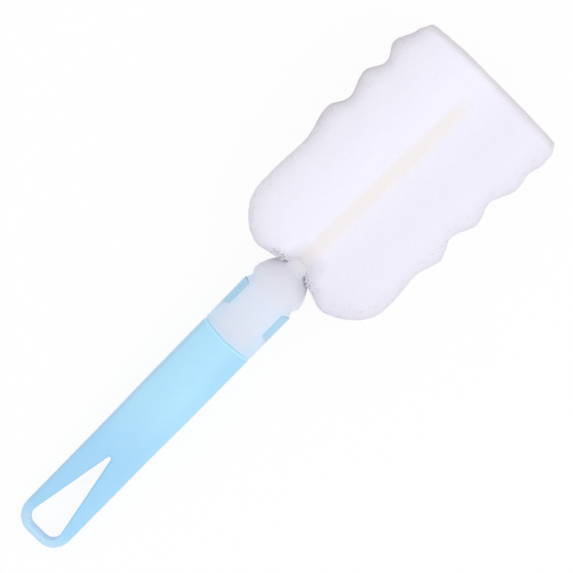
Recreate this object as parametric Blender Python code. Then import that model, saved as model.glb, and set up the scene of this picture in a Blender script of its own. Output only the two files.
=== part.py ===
"""A sponge bottle brush: a moulded grip, and a foam head on a collar that snaps on to it.

The brush's own axis is +X, from the hanging loop to the foam. Its front is +Z and its left side +Y.
The whole brush is tipped about Y, as it lies on a table: the loop and the foam both touch z = 0.
"""

import math

import bmesh
import bpy
import numpy as np
from mathutils import Vector

# Shared clearances, in metres
PIECE_GAP = 0.0003  # between pieces that touch on the real brush
PLUG_CLEARANCE = 0.00025  # between the plug and the socket's wall
OVERRUN = 0.004  # how far a cutter runs past what it cuts

# Cross-section that the grip and the collar share
BODY_WIDTH = 0.0233
BODY_THICKNESS = 0.015
BODY_FRONT_POWER = 1.9  # 2 is an ellipse, less is a soft ridge, more is flat
BODY_SIDE_POWER = 2.2

# Grip
GRIP_LENGTH = 0.1086  # from the loop's tip to the seam at the sides
SEAM_VEE = 0.0008  # how far the seam dips towards the loop at the middle
GRIP_CHAMFER = 0.0007
LOOP_LENGTH = 0.049  # the flat part that holds the hanging hole
SWELL_LENGTH = 0.030  # over which it thickens to the grip
LOOP_WIDTH = 0.0227
LOOP_THICKNESS = 0.0065
LOOP_CORNER_RADIUS = 0.008
LOOP_EDGE_RADIUS = 0.0025
LOOP_FRONT_POWER = 3.5
LOOP_SIDE_POWER = 2.6

# Hanging hole, a triangle with rounded corners
HOLE_END_BAND = 0.0034
HOLE_LENGTH = 0.0439  # to the apex before it is rounded
HOLE_BASE_WIDTH = 0.0160
HOLE_CORNER_RADIUS = 0.0042
HOLE_APEX_RADIUS = 0.0008
HOLE_EDGE_RADIUS = 0.0012

# Collar
COLLAR_BODY_LENGTH = 0.0208
COLLAR_WALL = 0.0015
COLLAR_CHAMFER = 0.0003
WAIST_LENGTH = 0.0058
WAIST_DEPTH = 0.0013
DOME_LENGTH = 0.0120
DOME_POWER = 1.5
NOSE_RIM = 0.0006  # the wall left round the stem at the dome's end
SOCKET_DEPTH = 0.0224

# Windows in the collar's sides, and the buttons that fill them
WINDOW_START = 0.0094  # from the seam
WINDOW_LENGTH = 0.0122
WINDOW_HEIGHT = 0.0100
WINDOW_RADIUS = 0.0012

# Plug and its two spring arms, in one moulding with the grip
PLUG_LENGTH = 0.0218
PLUG_LEAD_IN = 0.0015  # the nose is tapered over this length
PLUG_LEAD_DEPTH = 0.00075
WEB_WIDTH = 0.006  # between the two arms
ARM_THICKNESS = 0.0018
ARM_ROOT_DEPTH = 0.0103  # how far inside the grip the arms begin
ARM_HEIGHT = 0.0074
BUTTON_RECESS = 0.0002  # the button's back lies this far inside the leaf
BUTTON_ROOM = 0.001  # between the button and the plug's shoulder

# Stem, and the bead of glue over it
STEM_LENGTH = 0.0970
STEM_ROOT_DEPTH = 0.0080
STEM_ROOT_DIAMETER = 0.0058
STEM_TIP_DIAMETER = 0.0050
GLUE_WIDTH = 0.0060
GLUE_DEPTH = 0.003
GLUE_ROOT_RADIUS = 0.0007
GLUE_END_RADIUS = 0.0027
HEAD_LEAN = math.radians(1.5)

# Foam head
FOAM_START = 0.0317  # from the seam
FOAM_LENGTH = 0.1086
FOAM_WIDTH = 0.0690
FOAM_THICKNESS = 0.048
FOAM_FRONT_POWER = 2.6
FOAM_SIDE_POWER = 2.4
FOAM_CORNER_LENGTH = 0.019
FOAM_CORNER_WIDTH = 0.023
FOAM_BELLY_LENGTH = 0.036  # over which it swells to its full thickness
FOAM_BELLY_DEPTH = 0.018
FOAM_TOP_RADIUS = 0.003
VALLEY_DEPTH = 0.0012  # the front sinks in a little over the stem
VALLEY_WIDTH = 0.014
PINCH_LENGTH = 0.024  # and is drawn in deeper round the collar's nose
PINCH_WIDTH = 0.024
PINCH_SHARE = 0.55
FOAM_FLAT = 0.0005  # how deep the foam is pressed flat where it lies

# The crests and dips of the foam's sides, as shares of its length and of half its width
LEFT_EDGE_SHARES = (
    (0.0, 0.96), (0.20, 0.955), (0.39, 0.952), (0.525, 1.047), (0.60, 0.95), (0.702, 1.037),
    (0.78, 0.945), (0.855, 1.047), (0.94, 0.955), (1.0, 0.87),
)
RIGHT_EDGE_SHARES = (
    (0.0, 0.98), (0.20, 1.0), (0.335, 0.962), (0.43, 1.033), (0.517, 0.928), (0.613, 1.03),
    (0.690, 0.955), (0.797, 1.055), (0.845, 1.022), (0.895, 1.055), (0.95, 1.04), (1.0, 0.93),
)

# Facets
RING_POINTS = 44
FOAM_RING_POINTS = 24
FOAM_STATIONS = 21  # along the waves
FOAM_TOP_STEPS = 3
ROD_POINTS = 16
CORNER_STEPS = 7
CURVE_STEPS = 8
FINE_STEPS = 400
LOOP_STATION_SHARES = (0.35, 0.6, 0.8)  # rings along the flat of the loop
HALVINGS = 60
SHARP_ANGLE = math.radians(35)

# Places along the brush, worked out from the sizes above
SEAM_X = GRIP_LENGTH
WAIST_X = SEAM_X + COLLAR_BODY_LENGTH
DOME_X = WAIST_X + WAIST_LENGTH
COLLAR_END_X = DOME_X + DOME_LENGTH
PLUG_END_X = SEAM_X + PLUG_LENGTH
SOCKET_END_X = SEAM_X + SOCKET_DEPTH
WINDOW_X = SEAM_X + WINDOW_START
ARM_ROOT_X = SEAM_X - ARM_ROOT_DEPTH
ARM_OUTER_Y = BODY_WIDTH / 2 - COLLAR_WALL - PLUG_CLEARANCE
ARM_PIVOT_Y = ARM_OUTER_Y - ARM_THICKNESS / 2
STEM_X = COLLAR_END_X - STEM_ROOT_DEPTH
FOAM_X = SEAM_X + FOAM_START


def linear(colour):
    """An sRGB colour of 0 to 255 as Blender's linear values."""
    return [((c / 255 + 0.055) / 1.055) ** 2.4 for c in colour] + [1.0]


def make_material(name, colour, roughness, transmission=0.0):
    material = bpy.data.materials.new(name)
    material.use_nodes = True
    shader = material.node_tree.nodes["Principled BSDF"]
    shader.inputs["Base Color"].default_value = linear(colour)
    shader.inputs["Roughness"].default_value = roughness
    shader.inputs["Metallic"].default_value = 0.0
    shader.inputs["Transmission Weight"].default_value = transmission
    return material


def add_object(name, bm, parent, material=None, origin=(0, 0, 0)):
    """An object whose mesh is given in its parent's frame and whose origin is then moved to a point of it."""
    bmesh.ops.recalc_face_normals(bm, faces=bm.faces)
    bmesh.ops.translate(bm, verts=bm.verts, vec=-Vector(origin))
    mesh = bpy.data.meshes.new(name)
    bm.to_mesh(mesh)
    bm.free()
    mesh.shade_smooth()
    mesh.set_sharp_from_angle(angle=SHARP_ANGLE)
    obj = bpy.data.objects.new(name, mesh)
    obj.location = origin
    obj.parent = parent
    bpy.context.scene.collection.objects.link(obj)
    if material:
        mesh.materials.append(material)
    return obj


def add_helper(name, bm, parent, origin=(0, 0, 0)):
    """A shape that only cuts or joins others."""
    obj = add_object(name, bm, parent, origin=origin)
    obj.hide_render = True
    obj.display_type = "WIRE"
    return obj


def add_empty(name, parent, location=(0, 0, 0)):
    empty = bpy.data.objects.new(name, None)
    empty.location = location
    empty.parent = parent
    bpy.context.scene.collection.objects.link(empty)
    return empty


def combine(obj, operation, other):
    modifier = obj.modifiers.new(f"{operation} {other.name}", "BOOLEAN")
    modifier.operation = operation
    modifier.solver = "EXACT"
    modifier.object = other


def loft(rings, creased=False):
    """A closed skin over rings of equally many points. A creased one's ends fold on the line from front to back."""
    bm = bmesh.new()
    loops = []
    for ring in rings:
        verts = [bm.verts.new(point) for point in ring]
        loops.append([bm.edges.new(pair) for pair in zip(verts, verts[1:] + verts[:1])])
    for near, far in zip(loops, loops[1:]):
        bmesh.ops.bridge_loops(bm, edges=near + far)
    for end in (loops[0], loops[-1]):
        bmesh.ops.contextual_create(bm, geom=end)
        if creased:
            quarter = len(end) // 4
            bmesh.ops.connect_verts(bm, verts=[end[quarter].verts[0], end[3 * quarter].verts[0]])
    return bm


def prism(outline, axis, start, end):
    """An outline pushed along an axis. Its points are given in the two other axes, in X, Y, Z order."""
    rings = []
    for height in (start, end):
        ring = []
        for point in outline:
            corner = list(point)
            corner.insert(axis, height)
            ring.append(corner)
        rings.append(ring)
    return loft(rings)


def box(low, high):
    (x0, y0, z0), (x1, y1, z1) = low, high
    return prism([(x0, y0), (x1, y0), (x1, y1), (x0, y1)], 2, z0, z1)


def rounded(corners, radii, grow=0.0):
    """A convex outline with rounded corners, moved outwards by grow. Its corners run anticlockwise."""
    points = []
    count = len(corners)
    for i, radius in enumerate(radii):
        corner = Vector(corners[i])
        back = (Vector(corners[i - 1]) - corner).normalized()
        ahead = (Vector(corners[(i + 1) % count]) - corner).normalized()
        half = back.angle(ahead) / 2
        centre = corner + (back + ahead).normalized() * radius / math.sin(half)
        middle = math.atan2(-(back + ahead).y, -(back + ahead).x)
        sweep = math.pi / 2 - half
        for turn in np.linspace(middle - sweep, middle + sweep, CORNER_STEPS):
            points.append(centre + Vector((math.cos(turn), math.sin(turn))) * (radius + grow))
    return points


def oval(half_width, half_depth, front_power, side_power, points=RING_POINTS):
    """Evenly spaced (y, z) points round an oval, from +Y through +Z."""
    turns = np.linspace(0, math.pi / 2, FINE_STEPS)
    y = half_width * np.cos(turns).clip(0) ** (2 / front_power)
    z = half_depth * np.sin(turns) ** (2 / side_power)
    along = np.concatenate([[0], np.cumsum(np.hypot(np.diff(y), np.diff(z)))])
    even = np.linspace(0, along[-1], points // 4 + 1)
    y = np.interp(even, along, y)
    z = np.interp(even, along, z)
    quarter = list(zip(y, z))
    left = quarter + [(-a, b) for a, b in quarter[-2::-1]]
    return left + [(a, -b) for a, b in left[-2:0:-1]]


def body_ring(x, inset=0.0):
    """The section that the grip and the collar share, drawn in by inset."""
    ring = oval(BODY_WIDTH / 2 - inset, BODY_THICKNESS / 2 - inset, BODY_FRONT_POWER, BODY_SIDE_POWER)
    return [(x, y, z) for y, z in ring]


def smooth(value, start, end):
    """0 before start and 1 after end, with an even slope between."""
    share = min(max((value - start) / (end - start), 0.0), 1.0)
    return share * share * (3 - 2 * share)


def quarter_steps(length, steps=CORNER_STEPS):
    """Distances into a rounded corner, close together where it turns most."""
    return [length * (1 - math.cos(turn)) for turn in np.linspace(0, math.pi / 2, steps + 1)]


def corner_fall(distance, length, height):
    """How far a rounded corner stands below its full height at this distance from its end."""
    if distance >= length:
        return 0.0
    return height * (1 - math.sqrt(1 - (1 - distance / length) ** 2))


def grip_half_thickness(x):
    swollen = smooth(x, LOOP_LENGTH, LOOP_LENGTH + SWELL_LENGTH)
    half = LOOP_THICKNESS / 2 + (BODY_THICKNESS - LOOP_THICKNESS) / 2 * swollen
    return half - corner_fall(x, LOOP_EDGE_RADIUS, LOOP_EDGE_RADIUS)


def grip_ring(x):
    """The grip's section: flat with round edges at the loop, a soft oval in the hand."""
    swollen = smooth(x, LOOP_LENGTH, LOOP_LENGTH + SWELL_LENGTH)
    half_width = LOOP_WIDTH / 2 + (BODY_WIDTH - LOOP_WIDTH) / 2 * swollen
    ring = oval(
        half_width - corner_fall(x, LOOP_CORNER_RADIUS, LOOP_CORNER_RADIUS),
        grip_half_thickness(x),
        LOOP_FRONT_POWER + (BODY_FRONT_POWER - LOOP_FRONT_POWER) * swollen,
        LOOP_SIDE_POWER + (BODY_SIDE_POWER - LOOP_SIDE_POWER) * swollen,
    )
    return [(x, y, z) for y, z in ring]


def grip_stations():
    stations = set(quarter_steps(LOOP_CORNER_RADIUS)) | set(quarter_steps(LOOP_EDGE_RADIUS)[1:-1])
    stations |= {LOOP_LENGTH * share for share in LOOP_STATION_SHARES}
    stations |= set(np.linspace(LOOP_LENGTH, LOOP_LENGTH + SWELL_LENGTH, CURVE_STEPS + 1))
    return sorted(stations)


def seam_ring(shift, inset=0.0):
    """The shared section along the seam's shallow V, moved along by shift and drawn in by inset."""
    ring = []
    for _, y, z in body_ring(SEAM_X, inset):
        dip = SEAM_VEE * (1 - abs(y) / (BODY_WIDTH / 2))
        ring.append((SEAM_X - dip + shift, y, z))
    return ring


def hole_cutter():
    """The hanging hole, flared at both faces so that its edges are round."""
    base_x = HOLE_END_BAND
    half = HOLE_BASE_WIDTH / 2
    corners = [(base_x, half), (base_x, -half), (base_x + HOLE_LENGTH, 0)]
    radii = [HOLE_CORNER_RADIUS, HOLE_CORNER_RADIUS, HOLE_APEX_RADIUS]
    levels = []
    for turn in np.linspace(0, math.pi / 2, CORNER_STEPS):
        height = LOOP_THICKNESS / 2 - HOLE_EDGE_RADIUS + HOLE_EDGE_RADIUS * math.sin(turn)
        levels.append((height, HOLE_EDGE_RADIUS * (1 - math.cos(turn))))
    levels.append((LOOP_THICKNESS / 2 + OVERRUN, HOLE_EDGE_RADIUS))
    levels = [(-height, grow) for height, grow in levels[::-1]] + levels
    return loft([[(x, y, z) for x, y in rounded(corners, radii, grow)] for z, grow in levels])


def plug_outside(start_x, grow=0.0):
    """The outside of the plug and its arms, with a tapered nose."""
    inset = COLLAR_WALL + PLUG_CLEARANCE - grow
    return loft([
        body_ring(start_x, inset),
        body_ring(PLUG_END_X - PLUG_LEAD_IN + grow, inset),
        body_ring(PLUG_END_X + grow, inset + PLUG_LEAD_DEPTH),
    ])


def side_box(side, start_x, end_x, inner_y, half_height):
    """A box on one side of the brush, from inner_y outwards past the body's side."""
    low, high = sorted((side * inner_y, side * (BODY_WIDTH / 2 + OVERRUN)))
    return box((start_x, low, -half_height), (end_x, high, half_height))


def make_handle(brush, material):
    """Grip, loop and plug: one moulding, with a pocket in each side where a spring arm comes out of it."""
    grip = [grip_ring(x) for x in grip_stations()]
    grip += [seam_ring(-PIECE_GAP - GRIP_CHAMFER), seam_ring(-PIECE_GAP, GRIP_CHAMFER)]
    handle = add_object("handle", loft(grip, creased=True), brush, material)
    combine(handle, "DIFFERENCE", add_helper("hanging_hole", hole_cutter(), brush))
    combine(handle, "UNION", add_helper("plug", plug_outside(SEAM_X - OVERRUN), brush))
    for side in (1, -1):
        half_height = ARM_HEIGHT / 2 + PIECE_GAP
        start_x = ARM_ROOT_X - PIECE_GAP
        pocket = side_box(side, start_x, PLUG_END_X + OVERRUN, WEB_WIDTH / 2, half_height)
        arm_room = add_helper("arm_room", pocket, brush)
        combine(arm_room, "INTERSECT", add_helper("arm_room_side", plug_outside(start_x - OVERRUN, PIECE_GAP), brush))
        combine(handle, "DIFFERENCE", arm_room)
        half_height = WINDOW_HEIGHT / 2 + PIECE_GAP
        start_x = WINDOW_X - BUTTON_ROOM
        button_room = side_box(side, start_x, PLUG_END_X + OVERRUN, WEB_WIDTH / 2, half_height)
        combine(handle, "DIFFERENCE", add_helper("button_room", button_room, brush))
    return handle


def window_outline(grow):
    x0, x1 = WINDOW_X, WINDOW_X + WINDOW_LENGTH
    half = WINDOW_HEIGHT / 2
    corners = [(x0, -half), (x1, -half), (x1, half), (x0, half)]
    return rounded(corners, [WINDOW_RADIUS] * 4, grow)


def make_snap_arm(name, side, brush, material):
    """A leaf of the plug's side, cut free down to its root, with the button that fills the collar's window."""
    pivot = (ARM_ROOT_X, side * ARM_PIVOT_Y, 0)
    inner = ARM_OUTER_Y - ARM_THICKNESS
    leaf = side_box(side, ARM_ROOT_X, PLUG_END_X + OVERRUN, inner, ARM_HEIGHT / 2)
    arm = add_object(name, leaf, brush, material, pivot)
    combine(arm, "INTERSECT", add_helper(f"{name}_side", plug_outside(ARM_ROOT_X - OVERRUN), brush))

    low, high = sorted((side * (inner + BUTTON_RECESS), side * (BODY_WIDTH / 2 + OVERRUN)))
    button = add_helper(f"{name}_button", prism(window_outline(-PIECE_GAP), 1, low, high), brush)
    skin = loft([body_ring(WINDOW_X - OVERRUN), body_ring(WINDOW_X + WINDOW_LENGTH + OVERRUN)])
    combine(button, "INTERSECT", add_helper(f"{name}_skin", skin, brush))
    combine(arm, "UNION", button)
    return arm


def collar_ring(x, grow=0.0):
    """The collar's section from the waist on: drawn in at the waist, then closing as a dome round the stem."""
    waist = WAIST_DEPTH * math.sin(math.pi * min((x - WAIST_X) / WAIST_LENGTH, 1)) ** 2
    dome = min(max((x - DOME_X) / DOME_LENGTH, 0), 1)
    open_share = (1 - dome**DOME_POWER) ** (1 / DOME_POWER)
    nose = STEM_ROOT_DIAMETER / 2 + PIECE_GAP + NOSE_RIM
    half_width = nose + (BODY_WIDTH / 2 - nose) * open_share - waist + grow
    half_depth = nose + (BODY_THICKNESS / 2 - nose) * open_share - waist + grow
    ring = oval(half_width, half_depth, BODY_FRONT_POWER, BODY_SIDE_POWER)
    return [(x, y, z) for y, z in ring]


def collar_stations():
    waist = list(np.linspace(WAIST_X, DOME_X, CURVE_STEPS + 1))
    dome = [COLLAR_END_X - fall for fall in quarter_steps(DOME_LENGTH, CURVE_STEPS)]
    return waist + dome[-2::-1]


def make_collar(head, leaning, material):
    """The milky sleeve: an open socket for the plug, a window in each side, a waist and a dome."""
    skin = [seam_ring(0, COLLAR_CHAMFER), seam_ring(COLLAR_CHAMFER)]
    skin += [collar_ring(x) for x in collar_stations()]
    collar = add_object("collar", loft(skin, creased=True), head, material)
    socket = loft([body_ring(x, COLLAR_WALL) for x in (SEAM_X - OVERRUN, SOCKET_END_X)])
    combine(collar, "DIFFERENCE", add_helper("socket", socket, head))
    reach = BODY_WIDTH / 2 + OVERRUN
    combine(collar, "DIFFERENCE", add_helper("windows", prism(window_outline(0), 1, -reach, reach), head))
    combine(collar, "DIFFERENCE", add_helper("stem_hole", rod(PIECE_GAP), leaning))
    return collar


def rod(grow=0.0):
    """The stem, a tapered rod with a round tip, grown all over, in the leaning frame that starts at its root."""
    tip = STEM_TIP_DIAMETER / 2 + grow
    profile = [(-grow, STEM_ROOT_DIAMETER / 2 + grow)]
    for fall in quarter_steps(tip)[:0:-1]:
        profile.append((STEM_LENGTH + grow - fall, math.sqrt(tip**2 - (tip - fall) ** 2)))
    rings = []
    for x, radius in profile:
        turns = np.linspace(0, 2 * math.pi, ROD_POINTS, endpoint=False)
        rings.append([(x, radius * math.cos(turn), radius * math.sin(turn)) for turn in turns])
    return loft(rings)


def foam_half_width(distance, side):
    """From the stem's line to the foam's left or right side, swinging from crest to dip."""
    shares = LEFT_EDGE_SHARES if side > 0 else RIGHT_EDGE_SHARES
    along = distance / FOAM_LENGTH
    wave = shares[-1][1]
    for (start, first), (end, last) in zip(shares, shares[1:]):
        if start <= along < end:
            wave = first + (last - first) * smooth(along, start, end)
    bottom = corner_fall(distance, FOAM_CORNER_LENGTH, FOAM_CORNER_WIDTH)
    top = corner_fall(FOAM_LENGTH - distance, FOAM_TOP_RADIUS, FOAM_TOP_RADIUS)
    return wave * FOAM_WIDTH / 2 - bottom - top


def foam_half_thickness(distance):
    bottom = corner_fall(distance, FOAM_BELLY_LENGTH, FOAM_BELLY_DEPTH)
    top = corner_fall(FOAM_LENGTH - distance, FOAM_TOP_RADIUS, FOAM_TOP_RADIUS)
    return FOAM_THICKNESS / 2 - bottom - top


def foam_stations():
    stations = quarter_steps(FOAM_CORNER_LENGTH)[:-1]
    straight = FOAM_LENGTH - FOAM_CORNER_LENGTH - FOAM_TOP_RADIUS
    stations += list(np.linspace(FOAM_CORNER_LENGTH, FOAM_CORNER_LENGTH + straight, FOAM_STATIONS))
    stations += [FOAM_LENGTH - fall for fall in quarter_steps(FOAM_TOP_RADIUS, FOAM_TOP_STEPS)[-2::-1]]
    return stations


def bell(value, width):
    """1 in the middle, falling evenly to almost nothing at the width on either side."""
    return math.exp(-((2 * value / width) ** 2))


def foam_ring(distance):
    """A fat oval with staggered waves on its sides, sunk at the front over the stem and round the collar."""
    pinch = PINCH_SHARE * bell(distance, PINCH_LENGTH)
    half_thickness = foam_half_thickness(distance)
    ring = []
    for y, z in oval(FOAM_WIDTH / 2, half_thickness, FOAM_FRONT_POWER, FOAM_SIDE_POWER, FOAM_RING_POINTS):
        y *= foam_half_width(distance, y) / (FOAM_WIDTH / 2)
        if z > 0:
            z = z * (1 - pinch * bell(y, PINCH_WIDTH)) - VALLEY_DEPTH * bell(y, VALLEY_WIDTH)
        ring.append((foam_x(distance), y, z))
    return ring


def foam_x(distance):
    """A place on the foam in the leaning frame."""
    return FOAM_X - STEM_X + distance


def glue_outline(grow):
    half = GLUE_WIDTH / 2
    x0, x1 = COLLAR_END_X - STEM_X + PIECE_GAP, STEM_LENGTH
    corners = [(x0, -half), (x1, -half), (x1, half), (x0, half)]
    radii = [GLUE_ROOT_RADIUS, GLUE_END_RADIUS, GLUE_END_RADIUS, GLUE_ROOT_RADIUS]
    return rounded(corners, radii, grow)


def dome_hollow():
    """Room for the collar in the foam, open to the front so that its nose shows between the two lobes."""
    rings = []
    for x in collar_stations() + [COLLAR_END_X + PIECE_GAP]:
        ring = collar_ring(x, PIECE_GAP)
        half = ring[0][1]
        below = [(x, y, z) for _, y, z in ring if z < -PIECE_GAP]
        walls = [(x, half, 0), (x, half, FOAM_THICKNESS), (x, -half, FOAM_THICKNESS), (x, -half, 0)]
        rings.append(walls + below)
    return loft(rings)


def foam_blank(name, leaning, sunk=0.0):
    """The foam before anything is cut from it, sunk towards the back."""
    blank = add_helper(name, loft([foam_ring(d) for d in foam_stations()]), leaning)
    blank.location.z = -sunk
    return blank


def make_foam(leaning, head, table, material):
    """A block of foam, bored for the stem, hollowed for the dome and grooved at the front for the glue."""
    foam = add_object("foam_head", loft([foam_ring(d) for d in foam_stations()]), leaning, material)
    combine(foam, "DIFFERENCE", add_helper("stem_channel", rod(PIECE_GAP), leaning))
    groove = add_helper("groove", prism(glue_outline(PIECE_GAP), 2, 0, FOAM_THICKNESS), leaning)
    combine(groove, "DIFFERENCE", foam_blank("groove_floor", leaning, GLUE_DEPTH + PIECE_GAP))
    combine(foam, "DIFFERENCE", groove)
    combine(foam, "DIFFERENCE", table)
    combine(foam, "DIFFERENCE", add_helper("dome_hollow", dome_hollow(), head))
    return foam


def make_glue(leaning, material):
    """The bead of glue that closes the foam over the stem, flush with its front."""
    bead = add_object("glue_line", prism(glue_outline(0), 2, 0, FOAM_THICKNESS), leaning, material)
    combine(bead, "INTERSECT", foam_blank("bead_top", leaning))
    combine(bead, "DIFFERENCE", foam_blank("bead_floor", leaning, GLUE_DEPTH))
    return bead


def resting_slope():
    """The floor's slope seen from the brush, where it touches the loop and cuts FOAM_FLAT off the foam."""
    loop = [(x, -grip_half_thickness(x)) for x in np.linspace(0, LOOP_LENGTH, FINE_STEPS)]
    foam = [(FOAM_X + d, -foam_half_thickness(d)) for d in np.linspace(0, FOAM_LENGTH, FINE_STEPS)]
    low, high = 0.0, 1.0
    for _ in range(HALVINGS):
        slope = (low + high) / 2
        level = min(z + slope * x for x, z in loop)
        if min(z + slope * x for x, z in foam) + FOAM_FLAT * math.hypot(1, slope) < level:
            low = slope
        else:
            high = slope
    return slope, level


def centre_on_origin(brush, pieces):
    """Moves the brush over the floor until the pieces' shared box is centred on the origin."""
    bpy.context.view_layer.update()
    graph = bpy.context.evaluated_depsgraph_get()
    points = []
    for piece in pieces:
        evaluated = piece.evaluated_get(graph)
        mesh = evaluated.to_mesh()
        points += [evaluated.matrix_world @ vertex.co for vertex in mesh.vertices]
        evaluated.to_mesh_clear()
    middle = (np.min(points, axis=0) + np.max(points, axis=0)) / 2
    brush.location.x -= middle[0]
    brush.location.y -= middle[1]


def build():
    for obj in list(bpy.data.objects):
        bpy.data.objects.remove(obj)

    blue = make_material("blue_plastic", (176, 222, 248), 0.35)
    milky = make_material("milky_plastic", (216, 224, 238), 0.35, 0.2)
    stem_plastic = make_material("stem_plastic", (226, 222, 226), 0.45)
    glue = make_material("glue", (240, 235, 236), 0.5)
    white_foam = make_material("white_foam", (241, 238, 251), 0.9)

    slope, level = resting_slope()
    tilt = math.atan(slope)
    brush = add_empty("brush", None, (0, 0, -level * math.cos(tilt)))
    brush.rotation_euler = (0, -tilt, 0)
    head = add_empty("head", brush)
    leaning = add_empty("stem_axis", head, (STEM_X, 0, 0))
    leaning.rotation_euler = (0, 0, -HEAD_LEAN)

    reach = GRIP_LENGTH + FOAM_LENGTH
    table = add_helper("table", box((-reach, -reach, -reach), (2 * reach, reach, 0)), None)

    pieces = [
        make_handle(brush, blue),
        make_snap_arm("left_snap_arm", 1, brush, blue),
        make_snap_arm("right_snap_arm", -1, brush, blue),
        make_collar(head, leaning, milky),
        add_object("stem", rod(), leaning, stem_plastic),
        make_glue(leaning, glue),
        make_foam(leaning, head, table, white_foam),
    ]
    centre_on_origin(brush, pieces)


build()
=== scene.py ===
import functools
import math

import bmesh
import bpy
from mathutils import Matrix, Vector, noise


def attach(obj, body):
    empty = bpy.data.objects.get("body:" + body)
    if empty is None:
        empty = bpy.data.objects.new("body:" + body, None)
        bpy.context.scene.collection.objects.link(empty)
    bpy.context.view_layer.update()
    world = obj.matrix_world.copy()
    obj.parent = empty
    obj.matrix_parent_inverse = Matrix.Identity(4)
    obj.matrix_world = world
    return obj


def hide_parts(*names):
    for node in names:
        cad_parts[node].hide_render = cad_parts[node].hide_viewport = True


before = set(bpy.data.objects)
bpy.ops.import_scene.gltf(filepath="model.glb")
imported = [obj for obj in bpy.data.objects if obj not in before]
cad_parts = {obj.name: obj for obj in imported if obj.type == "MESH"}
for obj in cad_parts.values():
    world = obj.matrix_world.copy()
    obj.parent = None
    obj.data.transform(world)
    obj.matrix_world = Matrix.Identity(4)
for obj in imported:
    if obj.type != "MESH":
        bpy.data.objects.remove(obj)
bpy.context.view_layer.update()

# The camera looks straight down at the brush from a metre up, turned so that the brush runs from the
# picture's lower left to its upper right. The lens is long, so near and far parts look almost alike.
PICTURE_PIXELS = 573
PIXELS_PER_METRE = 2632.0  # at the height of VIEW_POINT
BRUSH_SLOPE = math.radians(45.5)
VIEW_POINT = Vector((0.0123, 0.0, 0.020))
VIEW_DISTANCE = 1.0
VIEW_DEPTH = 10  # nothing further off is drawn
SENSOR_WIDTH = 36  # in millimetres, as the lens is

lens = bpy.data.cameras.new("camera")
lens.sensor_width = SENSOR_WIDTH
lens.lens = SENSOR_WIDTH * VIEW_DISTANCE * PIXELS_PER_METRE / PICTURE_PIXELS
lens.clip_end = VIEW_DEPTH
camera = bpy.data.objects.new("camera", lens)
camera.location = VIEW_POINT + Vector((0, 0, VIEW_DISTANCE))
camera.rotation_euler = (0, 0, -BRUSH_SLOPE)
bpy.context.scene.collection.objects.link(camera)
bpy.context.scene.camera = camera


# The grip: pale blue polypropylene from a polished mould, a hard satin that takes soft highlights. The
# two snap arms with their thumb buttons come out of the same mould, so they share its finish.
BRUSH_TILT = math.radians(6.803086)  # it rests on the loop's rim and on the foam
LOOP_TIP = Vector((-0.124843, 0.002254, 0.002949))
brush_place = Matrix.Translation(LOOP_TIP) @ Matrix.Rotation(-BRUSH_TILT, 4, "Y")
GRIP_HALF_WIDTH = 0.0116
SEAM = 0.1086  # from the loop's tip, as the next two are
HOLE_WALL = 0.0034  # the hanging hole's flat end wall
LOOP_HIGHLIGHT = 0.0018  # a painted highlight along the middle of the loop's end
SEAM_VEE = 0.0008  # how far the seam dips towards the loop at its middle

GRIP_BLUE = (176, 226, 252)
GRIP_BLUE_DEEP = (163, 214, 246)  # the loop's arms, and painted shade on the grip's right side
GRIP_BLUE_LIT_TIP = (186, 221, 246)  # painted light on the loop's end
GRIP_BLUE_GREY = (173, 206, 234)  # the narrow left edge, away from the light
GRIP_HIGHLIGHT = (187, 235, 255)  # a painted highlight, on the thin lip at the seam and along the loop's end
# The buttons are painted deeper blue, as painted shade on their sides.
BUTTON_SHADED_BLUE = (171, 212, 237)

# Where a tone begins and where it is full, along the grip from the loop's tip or across it, with its left
# side positive.
PALING = (0.040, 0.074)  # from the arms' deep blue to the grip's pale one, which is painted light
# Painted shade along the grip's right edge, which keeps this share of its paleness.
RIGHT_EDGE = (-0.009, -0.004)
RIGHT_EDGE_PALENESS = 0.6
BY_SEAM, BY_SEAM_SIDE = (0.082, 0.098), (-0.008, -0.002)  # painted shade: the right half is deeper beside the seam
BY_SEAM_DEPTH = 0.55
LEFT_EDGE = (0.0096, 0.0108)
LEFT_EDGE_STRENGTH = 0.7
# Painted light at the loop's end, fading out by here.
LOOP_END_LIGHT = (0.003, 0.011)
LIP_HIGHLIGHT = (-0.0016, -0.0011)  # the painted highlight on the lip, from the seam
BUTTONS = (0.001, 0.003)  # from the seam too

# How far a tone reaches to both sides of its middle, where it begins to fade and where it is gone.
WALL_BAND, WALL_WIDTH = (0.0003, 0.0007), (0.0075, 0.0085)  # painted light on the hanging hole's end wall, which lies in shade, along and across
WALL_LIGHT_STRENGTH = 0.5
# The painted highlight along the loop's end.
STREAK_BAND, STREAK_WIDTH = (0.0002, 0.0007), (0.004, 0.008)
STREAK_STRENGTH = 0.6

FLOW = 0.012  # the size of the clouds that the flowing melt leaves in the colour
FLOW_SWING = 0.2
SATIN, SATIN_SWING, SATIN_PATCH = 0.3, 0.14, 0.003  # roughness, how much it varies, and in what patches
MOULD_GRAIN, MOULD_LINES = 0.00035, 0.0015  # the size of the polished mould's marks
MOULD_DEPTH = 0.00002


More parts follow.
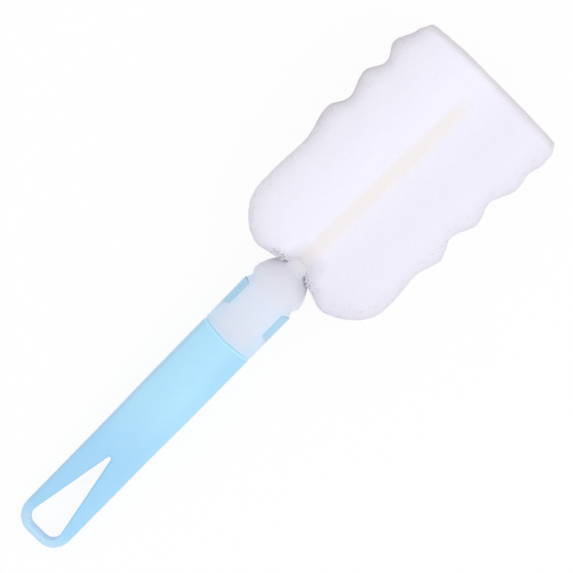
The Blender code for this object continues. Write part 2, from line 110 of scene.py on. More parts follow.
class Value:
    """A number in a shader. Arithmetic on it adds Math nodes."""

    def __init__(self, shader, socket):
        self.shader, self.socket = shader, socket

    def math(self, operation, *values):
        made = self.shader.node("ShaderNodeMath", {"operation": operation}, *values)
        return Value(self.shader, made.outputs[0])

    def __add__(self, other):
        return self.math("ADD", self, other)

    def __sub__(self, other):
        return self.math("SUBTRACT", self, other)

    def __rsub__(self, other):
        return self.math("SUBTRACT", other, self)

    def __mul__(self, other):
        return self.math("MULTIPLY", self, other)

    def __abs__(self):
        return self.math("ABSOLUTE", self)

    __radd__ = __add__
    __rmul__ = __mul__

    def between(self, low, high):
        """0 below low, 1 above high, smooth from one to the other."""
        settings = {"interpolation_type": "SMOOTHSTEP"}
        made = self.shader.node("ShaderNodeMapRange", settings, self, low, high)
        return Value(self.shader, made.outputs[0])

    def within(self, full, gone):
        """1 as far as full to both sides of 0, and 0 from gone on."""
        return 1 - abs(self).between(full, gone)

    def at_least(self, share):
        """Lifts 0 to this share, and leaves 1 as it is."""
        return share + (1 - share) * self

    def about_one(self, swing):
        """Spreads 0 to 1 out, from this swing under 1 to as much over it."""
        return 1 - swing + 2 * swing * self


class Shader:
    """A material, its Principled shader, and a short way to add the other nodes."""

    def __init__(self, name, **constants):
        self.material = bpy.data.materials.new(name)
        self.material.use_nodes = True
        self.principled = self.material.node_tree.nodes["Principled BSDF"]
        for socket, value in constants.items():
            self.principled.inputs[socket.replace("_", " ")].default_value = value

    def link(self, value, socket):
        if isinstance(value, Value):
            value = value.socket
        if isinstance(value, bpy.types.NodeSocket):
            self.material.node_tree.links.new(value, socket)
        else:
            socket.default_value = value

    def paint(self, **channels):
        """Gives the Principled shader's sockets what varies over the surface."""
        for socket, value in channels.items():
            self.link(value, self.principled.inputs[socket.replace("_", " ")])

    def node(self, kind, settings, *values, **named):
        made = self.material.node_tree.nodes.new(kind)
        for setting, value in settings.items():
            setattr(made, setting, value)
        for place, value in enumerate(values):
            self.link(value, made.inputs[place])
        for socket, value in named.items():
            self.link(value, made.inputs[socket.replace("_", " ")])
        return made

    def place(self, around=None):
        """Where a point is on the piece, in metres, or in the frame of the matrix around."""
        spot = self.node("ShaderNodeTexCoord", {}).outputs["Object"]
        if around is None:
            return spot
        settings = {"vector_type": "TEXTURE"}
        made = self.node("ShaderNodeMapping", settings, spot, around.translation, around.to_euler())
        return made.outputs[0]

    def lengths(self, around):
        """How far along, across and up a point is, in the frame of the matrix around."""
        made = self.node("ShaderNodeSeparateXYZ", {}, self.place(around))
        return [Value(self, socket) for socket in made.outputs]

    def noise(self, metres, detail=2.0, stretch=(1, 1, 1)):
        """Soft noise from 0 to 1 whose lumps are this size, drawn out along the axes by stretch."""
        spot = self.node("ShaderNodeMapping", {"vector_type": "TEXTURE"}, self.place(), Scale=stretch)
        sockets = {"Vector": spot.outputs[0], "Scale": 1 / metres, "Detail": detail}
        return Value(self, self.node("ShaderNodeTexNoise", {}, **sockets).outputs["Fac"])

    def cells(self, metres):
        """How far a point is from the middle of its cell, one of many of this size, scattered about."""
        made = self.node("ShaderNodeTexVoronoi", {}, Vector=self.place(), Scale=1 / metres)
        return Value(self, made.outputs["Distance"])

    def mix(self, share, first, second):
        """A colour that goes from first to second as share goes from 0 to 1."""
        made = self.node("ShaderNodeMix", {"data_type": "RGBA"})
        factor, first_socket, second_socket = made.inputs[0], made.inputs[6], made.inputs[7]
        self.link(share, factor)
        for picked, socket in ((first, first_socket), (second, second_socket)):
            self.link(colour(*picked) if isinstance(picked, tuple) else picked, socket)
        return made.outputs[2]  # the mixed colour

    def bump(self, height, metres):
        """Gives the surface this relief, which is metres deep where height is 1."""
        made = self.node("ShaderNodeBump", {}, Strength=1.0, Distance=metres, Height=height)
        self.paint(Normal=made.outputs["Normal"])


def colour(red, green, blue):
    """A colour as a paint chart gives it, from 0 to 255, in the light values that a shader takes."""
    return [((part / 255 + 0.055) / 1.055) ** 2.4 for part in (red, green, blue)] + [1.0]


grip_finish = Shader(
    "grip_polypropylene", Specular_IOR_Level=0.4, Subsurface_Weight=0.1, Subsurface_Scale=0.002
)
along, across, _ = grip_finish.lengths(brush_place)
clouds = grip_finish.noise(FLOW, detail=3.0, stretch=(4, 1, 1)).about_one(FLOW_SWING)
# The grip beyond the loop's arms is painted paler, as painted light, with painted shade along its right
# edge, beside the seam on its right, and on its left edge.
pale = along.between(*PALING) * across.between(*RIGHT_EDGE).at_least(RIGHT_EDGE_PALENESS) * clouds
pale = pale * (1 - BY_SEAM_DEPTH * along.between(*BY_SEAM) * (1 - across.between(*BY_SEAM_SIDE)))
blue = grip_finish.mix(pale, GRIP_BLUE_DEEP, GRIP_BLUE)
blue = grip_finish.mix(across.between(*LEFT_EDGE) * LEFT_EDGE_STRENGTH, blue, GRIP_BLUE_GREY)
# Painted light on the loop's end, and on the hanging hole's end wall, which lies in shade.
at_wall = (along - HOLE_WALL).within(*WALL_BAND) * across.within(*WALL_WIDTH)
lit_tip = 1 - along.between(*LOOP_END_LIGHT) + at_wall * WALL_LIGHT_STRENGTH
blue = grip_finish.mix(lit_tip, blue, GRIP_BLUE_LIT_TIP)
# A painted highlight on the lip at the seam, and another along the loop's end.
from_seam = along - SEAM + SEAM_VEE - abs(across) * (SEAM_VEE / GRIP_HALF_WIDTH)
blue = grip_finish.mix(from_seam.between(*LIP_HIGHLIGHT), blue, GRIP_HIGHLIGHT)
streak = (along - LOOP_HIGHLIGHT).within(*STREAK_BAND) * across.within(*STREAK_WIDTH)
blue = grip_finish.mix(streak * STREAK_STRENGTH, blue, GRIP_HIGHLIGHT)
# The buttons are painted deeper blue, as painted shade.
grip_finish.paint(
    Base_Color=grip_finish.mix(from_seam.between(*BUTTONS), blue, BUTTON_SHADED_BLUE),
    Roughness=SATIN + SATIN_SWING * grip_finish.noise(SATIN_PATCH),
)
marks = grip_finish.noise(MOULD_GRAIN) + 0.5 * grip_finish.noise(MOULD_LINES, stretch=(6, 1, 1))
grip_finish.bump(marks, MOULD_DEPTH)
for name in ("handle", "left_snap_arm", "right_snap_arm"):
    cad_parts[name].material_slots[0].material = grip_finish.material


# The collar: a thin sleeve of milky polypropylene that clips over the plug, whose blue tints it, with a
# solid, greyer dome. Its waist is a dip in its two sides only, and it closes on the grip and the buttons
# with hardly a gap.
collar_place = brush_place @ Matrix.Translation((SEAM, 0, 0))
BODY_HALF_WIDTH, BODY_HALF_THICKNESS = 0.01165, 0.0075
BODY_FRONT_POWER, BODY_SIDE_POWER = 1.9, 2.2
OUTER_SHARE = 0.94  # what lies further out than this share of the section is its outer skin
WAIST_START, WAIST_LENGTH, WAIST_DEPTH = 0.0208, 0.0058, 0.0013  # from the seam
WAIST_FADE = (0.3, 0.8)  # the dip is gone towards the front, as shares of the thickness
DOME_START, DOME_END = 0.0266, 0.0386  # from the seam
DOME_DRAW = 0.0078  # how much the dome draws in to its end
SEAM_CLOSED = 0.00024  # how much of the seam's gap is closed, by moving the edge beside it
SEAM_BAND = 0.0016
WINDOW_START, WINDOW_END, WINDOW_HALF_HEIGHT = 0.0094, 0.0216, 0.0050  # from the seam
WINDOW_SIDE = 0.0085  # the windows lie further out from the middle than this
WINDOW_CLOSED = 0.00022  # how much of the gap round a button is closed
WINDOW_BAND = 0.0004
POINTS_MERGE = 0.000001  # points nearer than this are one
SHARP_EDGE = math.radians(35)


def eased(value, start, end):
    """0 before start, 1 after end, smooth from one to the other."""
    share = min(max((value - start) / (end - start), 0.0), 1.0)
    return share * share * (3 - 2 * share)


def finished(name, shape, shader=None, body=None):
    """An object from a bmesh, with its material, and for a piece its body."""
    mesh = bpy.data.meshes.new(name)
    shape.to_mesh(mesh)
    shape.free()
    mesh.shade_smooth()
    piece = bpy.data.objects.new(name, mesh)
    bpy.context.scene.collection.objects.link(piece)
    if shader:
        mesh.materials.append(shader.material)
    if body:
        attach(piece, body)
    return piece


def merged(node):
    """A copy of a CAD node's mesh with its doubled points merged."""
    shape = bmesh.new()
    shape.from_mesh(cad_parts[node].data)
    bmesh.ops.remove_doubles(shape, verts=shape.verts, dist=POINTS_MERGE)
    return shape


def fill_waist(spot):
    """Moves a point of the waist's outer skin out again, all the way at the front and the back."""
    if not WAIST_START < spot.x < WAIST_START + WAIST_LENGTH:
        return
    dip = WAIST_DEPTH * math.sin(math.pi * (spot.x - WAIST_START) / WAIST_LENGTH) ** 2
    half_width, half_thickness = BODY_HALF_WIDTH - dip, BODY_HALF_THICKNESS - dip
    across, up = abs(spot.y) / half_width, abs(spot.z) / half_thickness
    if across**BODY_FRONT_POWER + up**BODY_SIDE_POWER > OUTER_SHARE:
        filled = eased(up, *WAIST_FADE)
        spot.y *= 1 + (BODY_HALF_WIDTH / half_width - 1) * filled
        spot.z *= 1 + (BODY_HALF_THICKNESS / half_thickness - 1) * filled


def close_window(spot):
    """Moves a point of a window's edge towards the button."""
    beside = WINDOW_START - WINDOW_BAND < spot.x < WINDOW_END + WINDOW_BAND
    level = abs(spot.z) < WINDOW_HALF_HEIGHT + WINDOW_BAND
    if beside and level and abs(spot.y) > WINDOW_SIDE:
        middle = (WINDOW_START + WINDOW_END) / 2
        spot.x -= WINDOW_CLOSED * (spot.x - middle) / (WINDOW_END - middle)
        spot.z -= WINDOW_CLOSED * spot.z / WINDOW_HALF_HEIGHT


sleeve = merged("collar")
to_collar = collar_place.inverted()
for vertex in sleeve.verts:
    spot = to_collar @ vertex.co
    fill_waist(spot)
    if spot.x < SEAM_BAND:
        spot.x -= SEAM_CLOSED
    close_window(spot)
    vertex.co = collar_place @ spot

COLLAR_MILK = (222, 228, 242)
COLLAR_BLUE = (208, 228, 248)  # where the plug and its arms lie close behind the wall
COLLAR_GREY = (223, 223, 233)
COLLAR_PALE = (240, 241, 247)  # the dome's right side, where most light comes through
ARM_TINT = (0.0045, 0.0105)  # from the middle to the sides
PLUG_TINT = (0.0218, 0.0298)  # from the plug's end on, the tint fades
SEAM_TINT = (0.0, 0.004)
SEAM_TINT_STRENGTH = 0.7
SOLID_START, SOLID_END = 0.0178, 0.0306  # where the sleeve turns into the solid dome
MILK_CLOUD, MILK_CLOUD_LEAST = 0.005, 0.75
DOME_LIGHT, DOME_LIGHT_EDGE = (0.022, 0.032), (0.0002, 0.0038)  # along, and in from the right outline
DOME_LIGHT_STRENGTH = 0.4
MILK_SATIN, MILK_SATIN_SWING = 0.36, 0.12
MILK_GRAIN = 0.0004

collar_finish = Shader(
    "collar_polypropylene", Specular_IOR_Level=0.45, Subsurface_Weight=0.15, Subsurface_Scale=0.002
)
along, across, _ = collar_finish.lengths(collar_place)
at_arm = abs(across).between(*ARM_TINT) * (1 - along.between(*PLUG_TINT))
at_seam = 1 - along.between(*SEAM_TINT)
tint = at_arm + at_seam * (1 - at_arm) * SEAM_TINT_STRENGTH
tinted = collar_finish.mix(tint, COLLAR_MILK, COLLAR_BLUE)
solid = along.between(SOLID_START, SOLID_END)
solid = solid * collar_finish.noise(MILK_CLOUD, detail=3.0).at_least(MILK_CLOUD_LEAST)
greyed = collar_finish.mix(solid, tinted, COLLAR_GREY)
domed = along.between(DOME_START, DOME_END)
inwards = across + BODY_HALF_WIDTH - domed * domed * DOME_DRAW  # from the right side's outline
lit = along.between(*DOME_LIGHT) * (1 - inwards.between(*DOME_LIGHT_EDGE)) * DOME_LIGHT_STRENGTH
collar_finish.paint(
    Base_Color=collar_finish.mix(lit, greyed, COLLAR_PALE),
    Roughness=MILK_SATIN + MILK_SATIN_SWING * collar_finish.noise(SATIN_PATCH),
)
collar_finish.bump(collar_finish.noise(MILK_GRAIN), MOULD_DEPTH)
collar = finished("collar_sleeve", sleeve, collar_finish, "head body")
collar.data.set_sharp_from_angle(angle=SHARP_EDGE)
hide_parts("collar")


# The stem: one moulding with the collar, a tapered rod of the same milky plastic. The foam is pushed over
# it and glued to it, and hides it.
STEM_MILK, STEM_PALE = (222, 219, 224), (230, 227, 231)
STEM_CLOUD, STEM_GRAIN = 0.004, 0.0005

stem_finish = Shader("stem_polypropylene", Roughness=0.45)
stem_finish.paint(Base_Color=stem_finish.mix(stem_finish.noise(STEM_CLOUD), STEM_MILK, STEM_PALE))
stem_finish.bump(stem_finish.noise(STEM_GRAIN), MOULD_DEPTH)
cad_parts["stem"].material_slots[0].material = stem_finish.material


# The foam head: a block of white open-cell polyurethane foam with staggered waves cut in its sides. It
# is bored for the stem, and drawn in at the front round the collar's nose, so that it opens in two lobes.
STEM_ROOT = 0.1392  # from the loop's tip
HEAD_LEAN = math.radians(1.5)
head_place = brush_place @ Matrix.Translation((STEM_ROOT, 0, 0)) @ Matrix.Rotation(-HEAD_LEAN, 4, "Z")

FOAM_START = 0.0011  # from the stem's root
FOAM_LENGTH = 0.1086
FOAM_HALF_WIDTH = 0.0345
FOAM_HALF_THICKNESS = 0.024
FOAM_FRONT_POWER = 2.6
FOAM_SIDE_POWER = 2.4
FOAM_CORNER = (0.019, 0.023)  # the round corners beside the collar, along and across
FOAM_BELLY = (0.036, 0.018)  # and seen from the side
FOAM_RIM = 0.0008  # the crisp edge of the flat end
VALLEY_DEPTH, VALLEY_WIDTH = 0.0006, 0.018  # the front sinks in a little over the stem
LEFT_FALL, RIGHT_FALL = (0.0014, 0.026), (0.0001, 0.025)  # how much the flat end falls back, how far out
FALL_POWER = 6  # the fall is felt only near the end
LEFT_WAVES = (  # how wide the block is at each share of its length
    (0.0, 0.96), (0.20, 0.955), (0.39, 0.952), (0.525, 1.047), (0.60, 0.95), (0.702, 1.037),
    (0.78, 0.945), (0.855, 1.047), (0.94, 0.95), (1.0, 0.89),
)
RIGHT_WAVES = (
    (0.0, 0.98), (0.20, 1.0), (0.335, 0.962), (0.43, 1.033), (0.517, 0.928), (0.613, 1.03),
    (0.690, 0.952), (0.795, 1.055), (0.862, 1.02), (0.91, 1.053), (0.96, 1.045), (1.0, 0.985),
)
WAVE_DIP = 0.945  # the waves are down to nearly this share where they meet the front
WAVE_FADE, WAVE_FADE_POWER = 0.95, 1.3  # how much of a crest is gone at the front, and how soon
NOTCH_DEPTH, NOTCH_LENGTH = 0.0036, 0.012  # the lobes start later beside the collar
NOTCH_SIDE = (0.008, 0.019)
NOSE_END, NOSE_HEIGHT = 0.0080, 0.0042  # the collar's nose, along the stem and over it
CREASE_SLANT = 0.6  # the crease between the collar and a lobe runs back towards the sides
LOBE_ROUNDING = 0.0068
RAMP = (-0.002, 0.011)  # from the nose's end up to the front
RAMP_HALF_WIDTH = (0.0026, 0.009)
FOAM_TURNS = 192
FOAM_RINGS = 170
FOAM_VOXEL = 0.0006
HALVINGS = 30
TURN_DIGITS = 5  # equal turns of all rings are worked out once
COLLAR_ROOM, STEM_ROOM = 0.0004, 0.0003


def bell(value, width):
    """1 in the middle, almost nothing at the width on either side."""
    return math.exp(-((2 * value / width) ** 2))


def rounding(distance, length, height):
    """How far below its full height a round corner is, at this distance from its end."""
    if distance >= length:
        return 0.0
    return height * (1 - math.sqrt(1 - (1 - distance / length) ** 2))


def wave(distance, side):
    """How wide the block is here, as a share, on its left where side is over 0 and else on its right."""
    shares = LEFT_WAVES if side > 0 else RIGHT_WAVES
    along = distance / FOAM_LENGTH
    for (start, first), (end, last) in zip(shares, shares[1:]):
        if start <= along < end:
            return first + (last - first) * eased(along, start, end)
    return shares[-1][1]


def front_height(x, y, distance):
    """How high the foam's front stands over the stem's line, drawn in round the collar's nose."""
    half_width = wave(distance, y) * FOAM_HALF_WIDTH - rounding(distance, *FOAM_CORNER)
    share = min(abs(y) / half_width, 1.0)
    full = (1 - share**FOAM_FRONT_POWER) ** (1 / FOAM_SIDE_POWER)
    full *= FOAM_HALF_THICKNESS - rounding(distance, *FOAM_BELLY)
    full -= VALLEY_DEPTH * bell(y, VALLEY_WIDTH)
    if full <= NOSE_HEIGHT:
        return full
    past_nose = x - NOSE_END
    past_crease = past_nose + max(abs(y) - RAMP_HALF_WIDTH[0], 0.0) * CREASE_SLANT
    lobe = 1 - rounding(max(past_crease, 0.0), LOBE_ROUNDING, 1.0)
    ramp = eased(past_nose, *RAMP)
    risen = ramp + (lobe - ramp) * eased(abs(y), *RAMP_HALF_WIDTH)
    return NOSE_HEIGHT + (full - NOSE_HEIGHT) * risen


@functools.cache
def on_oval(turn):
    """Where a ray at this turn, from the left side towards the front, meets an oval of half width 1."""
    low, high = 1.0, 2.0
    for _ in range(HALVINGS):
        reach = (low + high) / 2
        across, up = reach * math.cos(turn), reach * math.sin(turn)
        if abs(across) ** FOAM_FRONT_POWER + abs(up) ** FOAM_SIDE_POWER < 1:
            low = reach
        else:
            high = reach
    return across, up


def foam_point(distance, across, up):
    """A point of the foam's skin in the head's frame, from its place on the oval."""
    rim = rounding(FOAM_LENGTH - distance, FOAM_RIM, FOAM_RIM)
    swing = wave(distance, across)
    swing -= max(swing - WAVE_DIP, 0) * WAVE_FADE * abs(up) ** WAVE_FADE_POWER
    y = across * (swing * FOAM_HALF_WIDTH - rounding(distance, *FOAM_CORNER) - rim)
    notch = NOTCH_DEPTH * (1 - eased(abs(y), *NOTCH_SIDE)) * (1 - eased(distance, 0.0, NOTCH_LENGTH))
    fall, reach = LEFT_FALL if y > 0 else RIGHT_FALL
    fallen = fall * (y / reach) ** 2 * (distance / FOAM_LENGTH) ** FALL_POWER
    x = FOAM_START + distance + notch - fallen
    z = up * (FOAM_HALF_THICKNESS - rounding(distance, *FOAM_BELLY) - rim)
    if z > 0:
        z = min(z, front_height(x, y, distance) - rim)
    return Vector((x, y, z))


def baked(piece, *modifiers):
    """Runs modifiers on a piece's mesh and drops them."""
    for kind, settings in modifiers:
        modifier = piece.modifiers.new(kind, kind)
        for setting, value in settings.items():
            setattr(modifier, setting, value)
    graph = bpy.context.evaluated_depsgraph_get()
    rough = piece.data
    piece.data = bpy.data.meshes.new_from_object(piece.evaluated_get(graph))
    piece.modifiers.clear()
    bpy.data.meshes.remove(rough)


def fattened(node, metres):
    """A merged copy of a CAD node that stands this far outside it, to cut room for it."""
    shape = merged(node)
    shape.normal_update()
    for vertex in shape.verts:
        vertex.co += vertex.normal * metres
    return finished(f"{node}_room", shape)


def rod(turns, rings, capped):
    """A round rod, 1 in radius and in length and ringed all along, to be shaped point by point."""
    shape = bmesh.new()
    bmesh.ops.create_cone(shape, cap_ends=capped, segments=turns, radius1=1, radius2=1, depth=1)
    lengthwise = [edge for edge in shape.edges if abs(edge.verts[0].co.z - edge.verts[1].co.z) > 0.5]
    bmesh.ops.subdivide_edges(shape, edges=lengthwise, cuts=rings)
    return shape


block = rod(FOAM_TURNS, FOAM_RINGS, capped=True)
for vertex in block.verts:
    across, up = on_oval(round(math.atan2(vertex.co.y, vertex.co.x), TURN_DIGITS))
    vertex.co = head_place @ foam_point((vertex.co.z + 0.5) * FOAM_LENGTH, across, up)
bmesh.ops.recalc_face_normals(block, faces=block.faces)

FOAM_WHITE = (242, 240, 252)
FOAM_SHADE = (235, 232, 246)  # the right side, a little greyer
FOAM_SIDE_SHADE = (222, 218, 226)  # painted shade on the cut sides, most on the left, away from the lamp; their pores are open too
FOAM_SIDE_MIDDLE_SHADE = (196, 190, 197)  # deeper painted shade along the middle of the cut sides
# Painted shade along the edge of the flat end.
FOAM_END_SHADE = (217, 212, 217)
PORE_GREY = (160, 154, 161)
SPECK_GREY = (138, 131, 136)  # the deepest pores, along the outline, darkened as painted shade, most on the left
CREASE_GREY = (128, 122, 126)  # the open pores in the creases between the collar and the lobes, darkened as painted shade
BEAD_WARM = (240, 235, 237)
BEAD_YELLOWED = (241, 236, 235)

BEAD_START, BEAD_END = 0.0025, 0.0970
BEAD_HALF_WIDTH = 0.0033
BEAD_TAPER = 0.005  # it narrows by this share of its length
BEAD_BLUR = (-0.0016, 0.0013)  # from the bead's edge outwards
BEAD_FRAY = (-0.008, 0.004)  # from its end
RAGGED = 0.0018  # how much its edge wanders, in lumps of the same size
FRAY_STRETCH = 5
BEAD_STREAK, STREAK_EDGE = 0.0012, (0.3, 0.7)
YELLOWING = (0.015, 0.06)  # along the bead

SHADE_SIDE = (-0.02, 0.004)
PORE, PORE_EDGE = 0.0009, (0.12, 0.42)  # a pore's size, and its edge from its middle outwards
OPEN_PATCH, OPEN_PATCH_EDGE = 0.004, (0.45, 0.7)  # the front's pores are open in patches
OPEN_IN_FRONT, OPEN_AT_SIDE = 0.03, 0.6
SPECK, SPECK_EDGE = 0.0013, (0.12, 0.30)
SPECK_PATCH, SPECK_PATCH_EDGE = 0.005, (0.40, 0.60)
SPECK_STRENGTH, SPECK_LEAST = 0.75, 0.25
CREASE_PORE, CREASE_PORE_EDGE = 0.0011, (0.15, 0.5)
CREASE_LENGTH = (0.006, 0.0105)
CREASE_INNER, CREASE_OUTER = (0.002, 0.004), (0.009, 0.014)
SIDE_BAND = (0.007, 0.018)  # up and down from the middle, the cut side turns to the front and the back
OUTLINE_BAND = (0.008, 0.015)
# Where the deeper painted shade along the sides' middle fades, and how strong it is.
MIDDLE_BAND = (0.004, 0.010)
MIDDLE_STRENGTH = 0.45
SHADED_SIDE, SHADED_LENGTH, SHADED_LEAST = (-0.005, 0.01), (0.025, 0.06), 0.3  # painted shade falls most on the left side, away from the lamp
# The right side, towards the lamp, gets this share of the painted shade.
RIGHT_SIDE_SHADE = 0.35
CUT_PATCH, CUT_SWING = 0.006, 0.3
END_EDGE = (-0.0022, 0.0014)  # painted shade along the flat end's edge, from the flat end
LEFT_BOW, RIGHT_BOW = 2.0, 0.2  # the end's painted shade begins sooner by this times the distance out, squared
HALVES_MEET = (-0.001, 0.001)
FOAM_GRAIN, FOAM_DEPTH = 0.0004, 0.00009
PORE_DEPTH_LEAST = 0.1


def bead_share(shader, x, y):
    """1 on the bead, fading to 0 over its blurred edges and its frayed end."""
    ragged = RAGGED * shader.noise(RAGGED, detail=4.0) - RAGGED / 2
    half = BEAD_HALF_WIDTH - BEAD_TAPER * x + ragged
    inside = 1 - (abs(y) - half).between(*BEAD_BLUR)
    return inside * (1 - (x + FRAY_STRETCH * ragged - BEAD_END).between(*BEAD_FRAY))


def bead_colour(shader, x):
    """The bead's own colour, which yellows in streaks towards its tip."""
    streaks = shader.noise(BEAD_STREAK, detail=3.0, stretch=(8, 1, 1)).between(*STREAK_EDGE)
    return shader.mix(streaks * x.between(*YELLOWING), BEAD_WARM, BEAD_YELLOWED)


foam_finish = Shader("foam_polyurethane", Roughness=0.92, Specular_IOR_Level=0.1)
along, across, up = foam_finish.lengths(head_place)
skin = foam_finish.mix(across.between(*SHADE_SIDE), FOAM_SHADE, FOAM_WHITE)
skin = foam_finish.mix(bead_share(foam_finish, along, across), skin, bead_colour(foam_finish, along))

# Painted shade on the cut sides, most on the left, away from the lamp, and deeper along their middle.
to_side = up.within(*SIDE_BAND)
on_left = across.between(*SHADED_SIDE) * along.between(*SHADED_LENGTH).at_least(SHADED_LEAST)
patches = foam_finish.noise(CUT_PATCH, detail=3.0).about_one(CUT_SWING)
cut = to_side * on_left.at_least(RIGHT_SIDE_SHADE) * patches
skin = foam_finish.mix(cut, skin, FOAM_SIDE_SHADE)
skin = foam_finish.mix(cut * up.within(*MIDDLE_BAND) * MIDDLE_STRENGTH, skin, FOAM_SIDE_MIDDLE_SHADE)

# Painted shade along the edge of the flat end.
bow = RIGHT_BOW + (LEFT_BOW - RIGHT_BOW) * across.between(*HALVES_MEET)
bowed = along + across * across * bow
skin = foam_finish.mix((bowed - FOAM_LENGTH).between(*END_EDGE), skin, FOAM_END_SHADE)

open_here = foam_finish.noise(OPEN_PATCH).between(*OPEN_PATCH_EDGE)
pores = (1 - foam_finish.cells(PORE).between(*PORE_EDGE)) * open_here
skin = foam_finish.mix(pores * (OPEN_IN_FRONT + OPEN_AT_SIDE * to_side), skin, PORE_GREY)
# The deepest pores along the outline, darkened as painted shade, most on the left.
specks = 1 - foam_finish.cells(SPECK).between(*SPECK_EDGE)
speckled = foam_finish.noise(SPECK_PATCH).between(*SPECK_PATCH_EDGE) * up.within(*OUTLINE_BAND)
speckled = speckled * on_left.at_least(SPECK_LEAST) * SPECK_STRENGTH
skin = foam_finish.mix(specks * speckled, skin, SPECK_GREY)

# The open pores in the creases between the collar and the lobes, darkened as painted shade.
in_crease = across.within(*CREASE_OUTER) * abs(across).between(*CREASE_INNER)
in_crease = in_crease * (1 - along.between(*CREASE_LENGTH))
crease_pores = 1 - foam_finish.cells(CREASE_PORE).between(*CREASE_PORE_EDGE)
skin = foam_finish.mix(in_crease * crease_pores, skin, CREASE_GREY)
foam_finish.paint(Base_Color=skin)
foam_finish.bump(foam_finish.noise(FOAM_GRAIN) - pores * to_side.at_least(PORE_DEPTH_LEAST), FOAM_DEPTH)

foam = finished("foam", block, foam_finish, "head body")
rooms = [fattened("collar", COLLAR_ROOM), fattened("stem", STEM_ROOM)]
bores = [("BOOLEAN", {"operation": "DIFFERENCE", "solver": "EXACT", "object": room}) for room in rooms]
baked(
    foam,
    *bores,
    ("REMESH", {"mode": "VOXEL", "voxel_size": FOAM_VOXEL, "use_smooth_shade": True}),
    ("SMOOTH", {"factor": 0.5, "iterations": 3}),
)
for room in rooms:
    bpy.data.objects.remove(room)

FOAM_LUMPS = ((0.012, 0.0003), (0.003, 0.00015), (0.0011, 0.00009))  # how long and how high they are
outwards = [normal.vector.copy() for normal in foam.data.vertex_normals]
for vertex, normal in zip(foam.data.vertices, outwards):
    spot = vertex.co.copy()
    for length, height in FOAM_LUMPS:
        spot += normal * height * noise.noise(spot / length)
    spot.z = max(spot.z, 0.0)
    vertex.co = spot
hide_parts("foam_head")


# The bead of hot-melt glue that closes the foam over the stem. It is rolled flush while it is warm, so
# little more than its colour shows. At its root it fills the corner behind the collar's nose, and runs out
# on the dome.
BEAD_DEPTH = 0.0025
BEAD_CROWN = 0.0001
BEAD_SUNK = 0.0005  # its edges lie this far under the foam's front
BEAD_SPARE = 0.0006  # it is wider than its colour, so that its edges don't show
BEAD_END_RADIUS = 0.003
BEAD_TURNS = 24
BEAD_RINGS = 120
ROOT_FLARE, FLARE_LENGTH = 0.0008, 0.007  # it widens over the nose
ROOT_SUNK, ROOT_SUNK_LENGTH = 0.0013, 0.0045  # and comes up out of the dome
TIP_SUNK, TIP_SUNK_LENGTH = 0.0005, 0.005
FILLET, FILLET_END = 0.0022, 0.017  # how far it rounds out the corner at the nose's end
DOME_ROOT = SEAM + DOME_START - STEM_ROOT  # from the stem's root
DOME_LENGTH = DOME_END - DOME_START
DOME_POWER = 1.5
NOSE_HALF_WIDTH = 0.0038
ENDS_MERGE = 0.00003

# Painted shade in the corner behind the collar's nose.
NOSE_SHADE_GREY = (235, 232, 238)
DOME_TONE, NOSE_TONE = (0.004, 0.0095), (0.006, 0.016)  # where it stops looking like the dome, and where the painted shade at the nose fades
GLUE_GRAIN, GLUE_DEPTH = 0.0006, 0.00006


def dome_height(x, y):
    """How high the collar's dome stands over the stem's line."""
    share = min(max((x - DOME_ROOT) / DOME_LENGTH, 0.0), 1.0)
    open_share = (1 - share**DOME_POWER) ** (1 / DOME_POWER)
    half_width = NOSE_HALF_WIDTH + (BODY_HALF_WIDTH - NOSE_HALF_WIDTH) * open_share
    half_thickness = NOSE_HALF_WIDTH + (BODY_HALF_THICKNESS - NOSE_HALF_WIDTH) * open_share
    across = min(abs(y) / half_width, 1.0)
    return half_thickness * (1 - across**BODY_FRONT_POWER) ** (1 / BODY_SIDE_POWER)


def bead_point(share, turn):
    """A point of the bead's skin in the head's frame."""
    x = BEAD_START + (BEAD_END - BEAD_START) * share
    half = BEAD_HALF_WIDTH - BEAD_TAPER * x + BEAD_SPARE
    half += ROOT_FLARE * (1 - eased(x, BEAD_START, BEAD_START + FLARE_LENGTH))
    tip_round = rounding(BEAD_END - x, BEAD_END_RADIUS, half)
    root_round = rounding(x - BEAD_START, BEAD_END_RADIUS, half)
    half -= tip_round + root_round
    y = half * math.cos(turn)
    front, dome = front_height(x, y, max(x - FOAM_START, 0.0)), dome_height(x, y)
    # The higher of the two, with the corner between them rounded.
    corner = FILLET * (1 - eased(x, DOME_ROOT + DOME_LENGTH, FILLET_END))
    top = (front + dome + math.hypot(front - dome, corner)) / 2
    top -= ROOT_SUNK * (1 - eased(x, BEAD_START, BEAD_START + ROOT_SUNK_LENGTH))
    top -= TIP_SUNK * eased(x, BEAD_END - TIP_SUNK_LENGTH, BEAD_END)
    lift = math.sin(turn)
    thickness = BEAD_SUNK + BEAD_CROWN if lift > 0 else BEAD_DEPTH
    return Vector((x, y, top - BEAD_SUNK + thickness * lift))


strip = rod(BEAD_TURNS, BEAD_RINGS, capped=False)
for vertex in strip.verts:
    vertex.co = head_place @ bead_point(vertex.co.z + 0.5, math.atan2(vertex.co.y, vertex.co.x))
# Its two ends run out to an upright line, which the merge closes.
bmesh.ops.remove_doubles(strip, verts=strip.verts, dist=ENDS_MERGE)
bmesh.ops.recalc_face_normals(strip, faces=strip.faces)

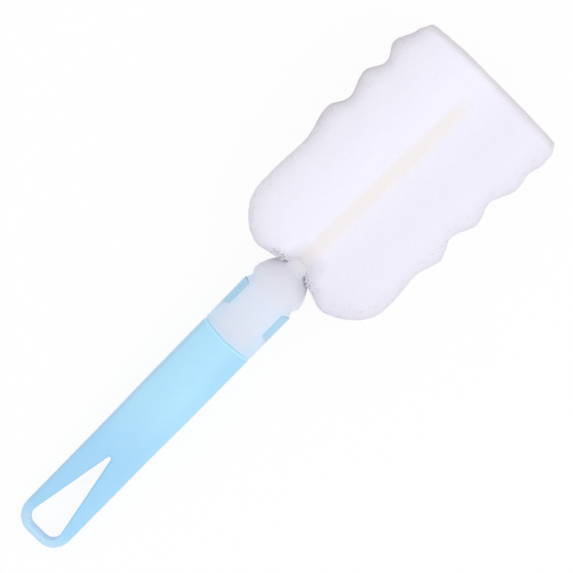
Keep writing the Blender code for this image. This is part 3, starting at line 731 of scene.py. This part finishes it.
glue_finish = Shader("glue", Roughness=0.6, Specular_IOR_Level=0.2)
along, across, _ = glue_finish.lengths(head_place)
on_bead = bead_share(glue_finish, along, across)
melted = glue_finish.mix(on_bead, FOAM_WHITE, bead_colour(glue_finish, along))
# Painted shade in the corner at the collar's nose, then the dome's own grey at the root.
rooted = glue_finish.mix(1 - along.between(*NOSE_TONE), melted, NOSE_SHADE_GREY)
glue_finish.paint(Base_Color=glue_finish.mix(1 - along.between(*DOME_TONE), rooted, COLLAR_GREY))
glue_finish.bump(glue_finish.noise(GLUE_GRAIN), GLUE_DEPTH)
bead = finished("glue_bead", strip, glue_finish, "head body")
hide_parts("glue_line")


# The floor is a sheet of white paper, which glows for the camera and keeps a little of the brush's shadow.
# A white room lights the brush from all sides, and a wide soft lamp hangs over the picture's lower right.
FLOOR_SIZE = 4.0
FLOOR_GLOW = 0.9
PAPER_WHITE = (250, 250, 250)
ROOM_LIGHT = 0.93
LAMP_WIDTH, LAMP_HEIGHT = 1.2, 0.9
LAMP_WATTS = 2.2
LAMP_SPOT = Vector((0.2, -0.7, 0.9))

sheet = bmesh.new()
bmesh.ops.create_grid(sheet, x_segments=1, y_segments=1, size=FLOOR_SIZE / 2)
paper = Shader("floor_paper", Roughness=0.9, Base_Color=colour(*PAPER_WHITE))
rays = paper.node("ShaderNodeLightPath", {}).outputs
seen = Value(paper, rays["Is Camera Ray"]) + Value(paper, rays["Is Glossy Ray"])
seen = seen + Value(paper, rays["Is Transmission Ray"])
glow = paper.node("ShaderNodeEmission", {}, Color=(1, 1, 1, 1), Strength=1.0)
surfaces = paper.principled.outputs[0], glow.outputs[0]
blend = paper.node("ShaderNodeMixShader", {}, seen * FLOOR_GLOW, *surfaces)
output = paper.material.node_tree.nodes["Material Output"]
paper.link(blend.outputs[0], output.inputs["Surface"])
floor = finished("floor", sheet, paper)

world = bpy.data.worlds.new("studio")
world.use_nodes = True
world.node_tree.nodes["Background"].inputs["Color"].default_value = (1, 1, 1, 1)
world.node_tree.nodes["Background"].inputs["Strength"].default_value = ROOM_LIGHT
bpy.context.scene.world = world

lamp_data = bpy.data.lights.new("softbox", "AREA")
lamp_data.shape = "RECTANGLE"
lamp_data.size = LAMP_WIDTH
lamp_data.size_y = LAMP_HEIGHT
lamp_data.energy = LAMP_WATTS
lamp = bpy.data.objects.new("softbox", lamp_data)
lamp.location = LAMP_SPOT
lamp.rotation_euler = (-LAMP_SPOT).to_track_quat("-Z", "Y").to_euler()
bpy.context.scene.collection.objects.link(lamp)

bpy.context.scene.view_settings.view_transform = "Standard"
